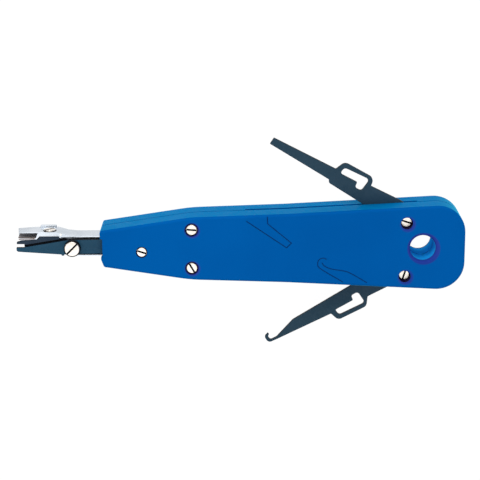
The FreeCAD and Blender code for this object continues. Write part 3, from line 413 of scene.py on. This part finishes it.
# Painted shades on the front face round a hole or a well: how far right of the axis and below it they lie,
# the radii between which they fade out, and their two colours. The violet is painted shade on the side away
# from the light, the navy a painted dark ring all round.
HOLE_PAINTED_SHADES = ((0.4, 0.3, 6.2, 6.7, PAINTED_VIOLET_SHADE),)
CLAMP_PAINTED_SHADES = ((0.25, 0.25, 2.6, 3.4, PAINTED_VIOLET_SHADE), (0.0, 0.0, 2.6, 2.9, PAINTED_NAVY_SHADE))
PIVOT_PAINTED_SHADES = ((0.35, 0.35, 2.5, 3.5, PAINTED_VIOLET_SHADE),)
WELL_PAINTED_SHADES = {
    "housing_screw_upper": CLAMP_PAINTED_SHADES, "housing_screw_lower": CLAMP_PAINTED_SHADES,
    "knife_pivot_screw": PIVOT_PAINTED_SHADES, "hook_pivot_screw": PIVOT_PAINTED_SHADES,
}


def front_painted_shades():
    """The painted shades round the hanging hole and the wells, placed on the front shell."""
    places = [(0.0, 0.0, HOLE_PAINTED_SHADES)] + [(*axis_of(node)[:2], shades) for node, shades in WELL_PAINTED_SHADES.items()]
    return [
        (x + right * MM, y - down * MM, inner * MM, outer * MM, shade)
        for x, y, shades in places for right, down, inner, outer, shade in shades
    ]


finishes = {node: MATERIALS[slot] for node, slot in slots.items()}
finishes["fixed_blade"] = blade_black("scissor_black", (0.009, 0.053, 0.098), (0.013, 0.065, 0.117))
finishes["moving_blade"] = blade_black("jaw_black", (0.016, 0.032, 0.056), (0.022, 0.040, 0.068))
# The front shell's blue carries the painted shades round the hanging hole and the wells.
finishes["front_shell"] = housing_blue("housing_blue_front", front_painted_shades())
for node, material in finishes.items():
    mesh = nodes[node].data
    mesh.materials.clear()
    mesh.materials.append(material)

# ---------------------------------------------------------------- meshes and pieces

# How far an added piece stays off a face, or goes into it, so that the two never share a plane.
HAIR = 0.01 * MM
MERGE_DISTANCE = 1e-7
FLAT_ANGLE = math.radians(0.5)
EDGE_ANGLE = math.radians(35.0)
SMOOTH_ANGLE = math.radians(25.0)
BEVEL_SEGMENTS = 2
CIRCLE_STEPS = 72
# The cosine at which a ribbon's mitre stops growing.
MITRE_LIMIT = 0.4


def add_piece(name, mesh, body, material):
    item = bpy.data.objects.new(name, mesh)
    bpy.context.scene.collection.objects.link(item)
    mesh.materials.append(material)
    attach(item, body)
    return item


def modified(mesh, kind, **settings):
    """The mesh after one modifier."""
    draft = bpy.data.objects.new("draft", mesh)
    bpy.context.scene.collection.objects.link(draft)
    modifier = draft.modifiers.new("change", kind)
    for key, value in settings.items():
        setattr(modifier, key, value)
    bpy.context.view_layer.update()
    final = bpy.data.meshes.new_from_object(draft.evaluated_get(bpy.context.evaluated_depsgraph_get()))
    bpy.data.objects.remove(draft)
    final.materials.clear()
    return final


def eased(node, width):
    """A copy of a CAD node with its sharp edges broken, shown in its place."""
    work = bmesh.new()
    work.from_mesh(nodes[node].data)
    bmesh.ops.remove_doubles(work, verts=work.verts, dist=MERGE_DISTANCE)
    bmesh.ops.dissolve_limit(work, angle_limit=FLAT_ANGLE, verts=work.verts, edges=work.edges)
    mesh = bpy.data.meshes.new(node + "_eased")
    work.to_mesh(mesh)
    work.free()
    final = modified(mesh, "BEVEL", width=width, segments=BEVEL_SEGMENTS, limit_method="ANGLE",
                     angle_limit=EDGE_ANGLE, use_clamp_overlap=True)
    for polygon in final.polygons:
        polygon.use_smooth = True
    final.set_sharp_from_angle(angle=SMOOTH_ANGLE)
    piece = add_piece(node + "_eased", final, bodies[node], finishes[node])
    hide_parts(node)


def closed_mesh(name, loops):
    """A solid through loops of points; each loop joins the next one and the last one joins the first."""
    count = len(loops[0])
    vertices = [point for loop in loops for point in loop]
    faces = []
    for row in range(len(loops)):
        near, far = row * count, (row + 1) % len(loops) * count
        for index in range(count):
            step = (index + 1) % count
            faces.append((near + index, near + step, far + step, far + index))
    mesh = bpy.data.meshes.new(name)
    mesh.from_pydata(vertices, [], faces)
    work = bmesh.new()
    work.from_mesh(mesh)
    bmesh.ops.recalc_face_normals(work, faces=work.faces)
    work.to_mesh(mesh)
    work.free()
    return mesh


def circle(x, y, z, radius):
    turns = [2 * math.pi * step / CIRCLE_STEPS for step in range(CIRCLE_STEPS)]
    return [(x + radius * math.cos(turn), y + radius * math.sin(turn), z) for turn in turns]


def ring(name, x, y, inner, outer, low, high):
    section = ((inner, low), (outer, low), (outer, high), (inner, high))
    return closed_mesh(name, [circle(x, y, z, radius) for radius, z in section])


def ribbon(name, points, width, low, high):
    """A flat band of constant width along an open line, mitred at its corners."""
    sections = []
    for index, point in enumerate(points):
        here = Vector(point)
        before = (here - Vector(points[index - 1])).normalized() if index else None
        after = (Vector(points[index + 1]) - here).normalized() if index + 1 < len(points) else None
        along = ((before or after) + (after or before)).normalized()
        side = Vector((-along.y, along.x))
        square = Vector((-(after or before).y, (after or before).x))
        reach = width / 2 / max(MITRE_LIMIT, side.dot(square))
        left, right = here + side * reach, here - side * reach
        sections.append([(*left, low), (*right, low), (*right, high), (*left, high)])
    vertices = [corner for section in sections for corner in section]
    faces = [(0, 1, 2, 3)]
    for row in range(len(sections) - 1):
        for index in range(4):
            step = (index + 1) % 4
            faces.append((row * 4 + index, row * 4 + 4 + index, row * 4 + 4 + step, row * 4 + step))
    last = 4 * (len(sections) - 1)
    faces.append((last + 3, last + 2, last + 1, last))
    mesh = bpy.data.meshes.new(name)
    mesh.from_pydata(vertices, [], faces)
    return mesh


def slot_line(x, y, half, turn):
    """The two ends of a screw slot's middle line."""
    along = half * Vector((math.cos(turn), math.sin(turn)))
    return [(x - along.x, y - along.y), (x + along.x, y + along.y)]


def in_metres(points):
    """Points given in millimetres."""
    return [(x * MM, y * MM) for x, y in points]


# ---------------------------------------------------------------- broken edges and the seam

# How wide each part's edges are broken, in millimetres.
EASED = {
    "removal_blade": 0.20, "hook_blade": 0.20, "fixed_blade": 0.09, "moving_blade": 0.09, "slide": 0.12,
    "sensor_block": 0.12, "pivot_collar": 0.10,
}
for node, width in EASED.items():
    eased(node, width * MM)

SEAM_THICK = 0.04 * MM
SEAM_SLACK = 1e-6
# The largest Z of a wall's normal.
WALL_LEAN = 0.1


def seam_skin(node, low, high):
    """A dark skin of painted shade in the groove along the seam, grown from the part's own wall between two
    heights.
    """
    work = bmesh.new()
    work.from_mesh(nodes[node].data)
    outside = [
        face for face in work.faces
        if min(vertex.co.z for vertex in face.verts) < low * MM - SEAM_SLACK
        or max(vertex.co.z for vertex in face.verts) > high * MM + SEAM_SLACK
        or abs(face.normal.z) > WALL_LEAN
    ]
    bmesh.ops.delete(work, geom=outside, context="FACES")
    bmesh.ops.remove_doubles(work, verts=work.verts, dist=MERGE_DISTANCE)
    mesh = bpy.data.meshes.new(node + "_seam")
    work.to_mesh(mesh)
    work.free()
    final = modified(mesh, "SOLIDIFY", thickness=SEAM_THICK, offset=1.0)
    add_piece(node + "_seam", final, "housing", SEAM)


seam_skin("rear_shell", 9.25, 9.5)
seam_skin("front_shell", 9.5, 9.75)

# ---------------------------------------------------------------- screws

# Painted shade in a slot: a dark strip on the slot's floor, which stops short of the head's edge and top.
SLOT_DEPTH = 0.7 * MM
SLOT_SHADE_WIDTH = 0.73 * MM
SLOT_SHADE_HEIGHT = 0.6 * MM
SLOT_SHADE_END = 0.12 * MM
for node, head, turn, *_ in SCREWS:
    x, y, top = axis_of(node)
    slot_floor = top - SLOT_DEPTH
    line = slot_line(x, y, head * MM - SLOT_SHADE_END, math.radians(turn))
    mesh = ribbon(node + "_slot", line, SLOT_SHADE_WIDTH, slot_floor + HAIR, slot_floor + SLOT_SHADE_HEIGHT)
    add_piece(node + "_slot", mesh, bodies[node], MATERIALS["washer_black"])

# Painted shadow: a dark liner on each well's wall, and a dark ring that fills the gap round the screw's
# head.
WELL_CLEARANCE = 0.02 * MM
LINER_THICK = 0.07 * MM
LINER_TOP = front_z - 0.12 * MM
GAP_DROP = 0.5 * MM
for node, head, _, well, seat in SCREWS:
    if well is None:
        continue
    x, y, top = axis_of(node)
    low = seat * MM + WELL_CLEARANCE
    wall = well * MM - HAIR
    liner = ring(node + "_well", x, y, wall - LINER_THICK, wall, low, LINER_TOP)
    add_piece(node + "_well", liner, "housing", SHADOW)
    inner, outer = head * MM + WELL_CLEARANCE, wall - LINER_THICK - HAIR
    gap = ring(node + "_gap", x, y, inner, outer, low, top - GAP_DROP)
    add_piece(node + "_gap", gap, "housing", SHADOW)

# ---------------------------------------------------------------- hanging hole

HOLE_RADIUS = 5.1 * MM
HOLE_ROUND = 1.3 * MM
WALL_LOW, WALL_HIGH = 0.7 * MM, front_z - HOLE_ROUND - 0.05 * MM
# How far the wall's skin of painted light and the bands of painted shade on it stand into the hole.
WALL_DEPTH = 0.04 * MM
BAND_DEPTH = 0.08 * MM
# Painted light: a brighter blue skin on the hole's wall.
wall = ring("hang_wall_painted_light", 0.0, 0.0, HOLE_RADIUS - WALL_DEPTH, HOLE_RADIUS + HAIR, WALL_LOW, WALL_HIGH)
add_piece("hang_wall_painted_light", wall, "housing", BORE_PAINTED_LIGHT)
# Painted shade: dark bands on the hole's wall at the seam and at the back edge.
for name, low, high in (("hang_seam", 9.36, 9.64), ("hang_back_edge", 0.02, 0.45)):
    band = ring(name, 0.0, 0.0, HOLE_RADIUS - BAND_DEPTH, HOLE_RADIUS + HAIR, low * MM, high * MM)
    add_piece(name, band, "housing", SEAM)

# How far the rim's skin stands off the rounded edge and goes into it.
RIM_OUTSIDE = 0.015 * MM
RIM_INSIDE = 0.04 * MM


def hole_rim_painted_shade():
    """A skin of painted shade over the rounded front edge of the hole, a section turned round the hole's
    axis.
    """
    centre_r, centre_z = HOLE_RADIUS + HOLE_ROUND, front_z - HOLE_ROUND
    turns = [math.radians(turn) for turn in range(10, 91, 10)]
    skin = [(turn, HOLE_ROUND + RIM_OUTSIDE) for turn in turns]
    skin += [(turn, HOLE_ROUND - RIM_INSIDE) for turn in reversed(turns)]
    loops = [
        circle(0.0, 0.0, centre_z + reach * math.cos(turn), centre_r - reach * math.sin(turn))
        for turn, reach in skin
    ]
    return closed_mesh("hang_rim_painted_shade", loops)


add_piece("hang_rim_painted_shade", hole_rim_painted_shade(), "housing", RIM_PAINTED_SHADE)

# ---------------------------------------------------------------- head

# Between the scissor blades: the shadow that the upper blade lies in along the edge of the lower one.
JAW_EDGE = ((-158.15, -0.04), (-157.9, 0.08), (-141.6, 2.82))
JAW_GAP_WIDTH = 0.56 * MM
# The height of a thin strip's top over the face that it lies on.
STRIP_TOP = 0.03 * MM
jaw_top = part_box("moving_blade")[1].z
mesh = ribbon("jaw_gap", in_metres(JAW_EDGE), JAW_GAP_WIDTH, jaw_top + HAIR, jaw_top + STRIP_TOP)
add_piece("jaw_gap", mesh, "head", MATERIALS["washer_black"])

# Side screw of the sensor block: painted shade in the gap round its head and on its slot's floor.
side_low, side_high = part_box("sensor_screw")
side_x = (side_low.x + side_high.x) / 2
side_z = (side_low.z + side_high.z) / 2
SIDE_HEAD_RADIUS = 2.3 * MM
SIDE_HEAD_HEIGHT = 0.6 * MM
SIDE_GAP_WIDTH = 0.35 * MM
SIDE_GAP_HEIGHT = 0.08 * MM
SIDE_SLOT_DEPTH = 0.35 * MM
SIDE_SLOT_TURN = math.radians(41.0)
SIDE_SLOT_SHADE_WIDTH = 0.88 * MM
SIDE_SLOT_SHADE_HEIGHT = 0.33 * MM


def turned_to_side(mesh):
    """Lay a mesh that was made round +Z along +Y instead, at the side screw."""
    mesh.transform(Matrix.Translation((side_x, side_high.y, side_z)) @ Matrix.Rotation(-math.pi / 2, 4, "X"))
    return mesh


gap = ring("sensor_screw_gap", 0.0, 0.0, SIDE_HEAD_RADIUS + HAIR, SIDE_HEAD_RADIUS + SIDE_GAP_WIDTH,
           HAIR - SIDE_HEAD_HEIGHT, SIDE_GAP_HEIGHT - SIDE_HEAD_HEIGHT)
add_piece("sensor_screw_gap", turned_to_side(gap), "head", MATERIALS["washer_black"])
slot_shade = ribbon("sensor_screw_slot", slot_line(0.0, 0.0, SIDE_HEAD_RADIUS - SLOT_SHADE_END, SIDE_SLOT_TURN),
                 SIDE_SLOT_SHADE_WIDTH, HAIR - SIDE_SLOT_DEPTH, SIDE_SLOT_SHADE_HEIGHT - SIDE_SLOT_DEPTH)
add_piece("sensor_screw_slot", turned_to_side(slot_shade), "head", MATERIALS["washer_black"])

# The block's edge between the wire guide's recess and the upper jaw.
block_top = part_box("sensor_block")[1].z
guide_low, guide_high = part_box("wire_guide_plate")
GUIDE_EDGE_LINE = ((guide_low.x + 0.2 * MM, 2.78 * MM), (guide_high.x - 0.3 * MM, 2.98 * MM))
GUIDE_EDGE_WIDTH = 0.4 * MM
mesh = ribbon("guide_edge", GUIDE_EDGE_LINE, GUIDE_EDGE_WIDTH, block_top - HAIR, block_top + STRIP_TOP)
add_piece("guide_edge", mesh, "head", GUIDE_EDGE)

# ---------------------------------------------------------------- engraved blade pictures

GROOVE_FLOOR = front_z - 0.2 * MM
INK_WIDTH = 0.34 * MM
INK_TOP = 0.08 * MM
CUT_NEAR, CUT_FAR = 0.25, 0.75
REMOVAL_PICTURE = ((-69.8, 11.3), (-53.9, 0.4), (-52.0, 2.3), (-61.4, 10.2), (-61.5, 13.0))
HOOK_PICTURE_OUTER = (
    (-31.4, -13.85), (-40.5, -8.4), (-41.7, -7.0), (-41.4, -4.6), (-39.4, -3.7), (-38.1, -4.4),
)
HOOK_PICTURE_INNER = (
    (-39.8, -5.9), (-39.1, -7.2), (-36.2, -8.5), (-31.4, -9.1), (-28.8, -9.9), (-22.0, -14.1),
)


def smoothed(points):
    """Cut the corners of an open line twice, so that it reads as a curve with the same ends."""
    for _ in range(2):
        curve = [points[0]]
        for (ax, ay), (bx, by) in zip(points, points[1:]):
            curve.append((CUT_FAR * ax + CUT_NEAR * bx, CUT_FAR * ay + CUT_NEAR * by))
            curve.append((CUT_NEAR * ax + CUT_FAR * bx, CUT_NEAR * ay + CUT_FAR * by))
        points = [*curve, points[-1]]
    return points


PICTURES = {
    "removal_picture": REMOVAL_PICTURE,
    "hook_picture_outer": smoothed(HOOK_PICTURE_OUTER),
    "hook_picture_inner": smoothed(HOOK_PICTURE_INNER),
}
for name, points in PICTURES.items():
    mesh = ribbon(name, in_metres(points), INK_WIDTH, GROOVE_FLOOR + HAIR, GROOVE_FLOOR + INK_TOP)
    add_piece(name, mesh, "housing", INK)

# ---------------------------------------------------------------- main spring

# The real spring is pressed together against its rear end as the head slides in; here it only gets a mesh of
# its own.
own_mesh(nodes["main_spring"])
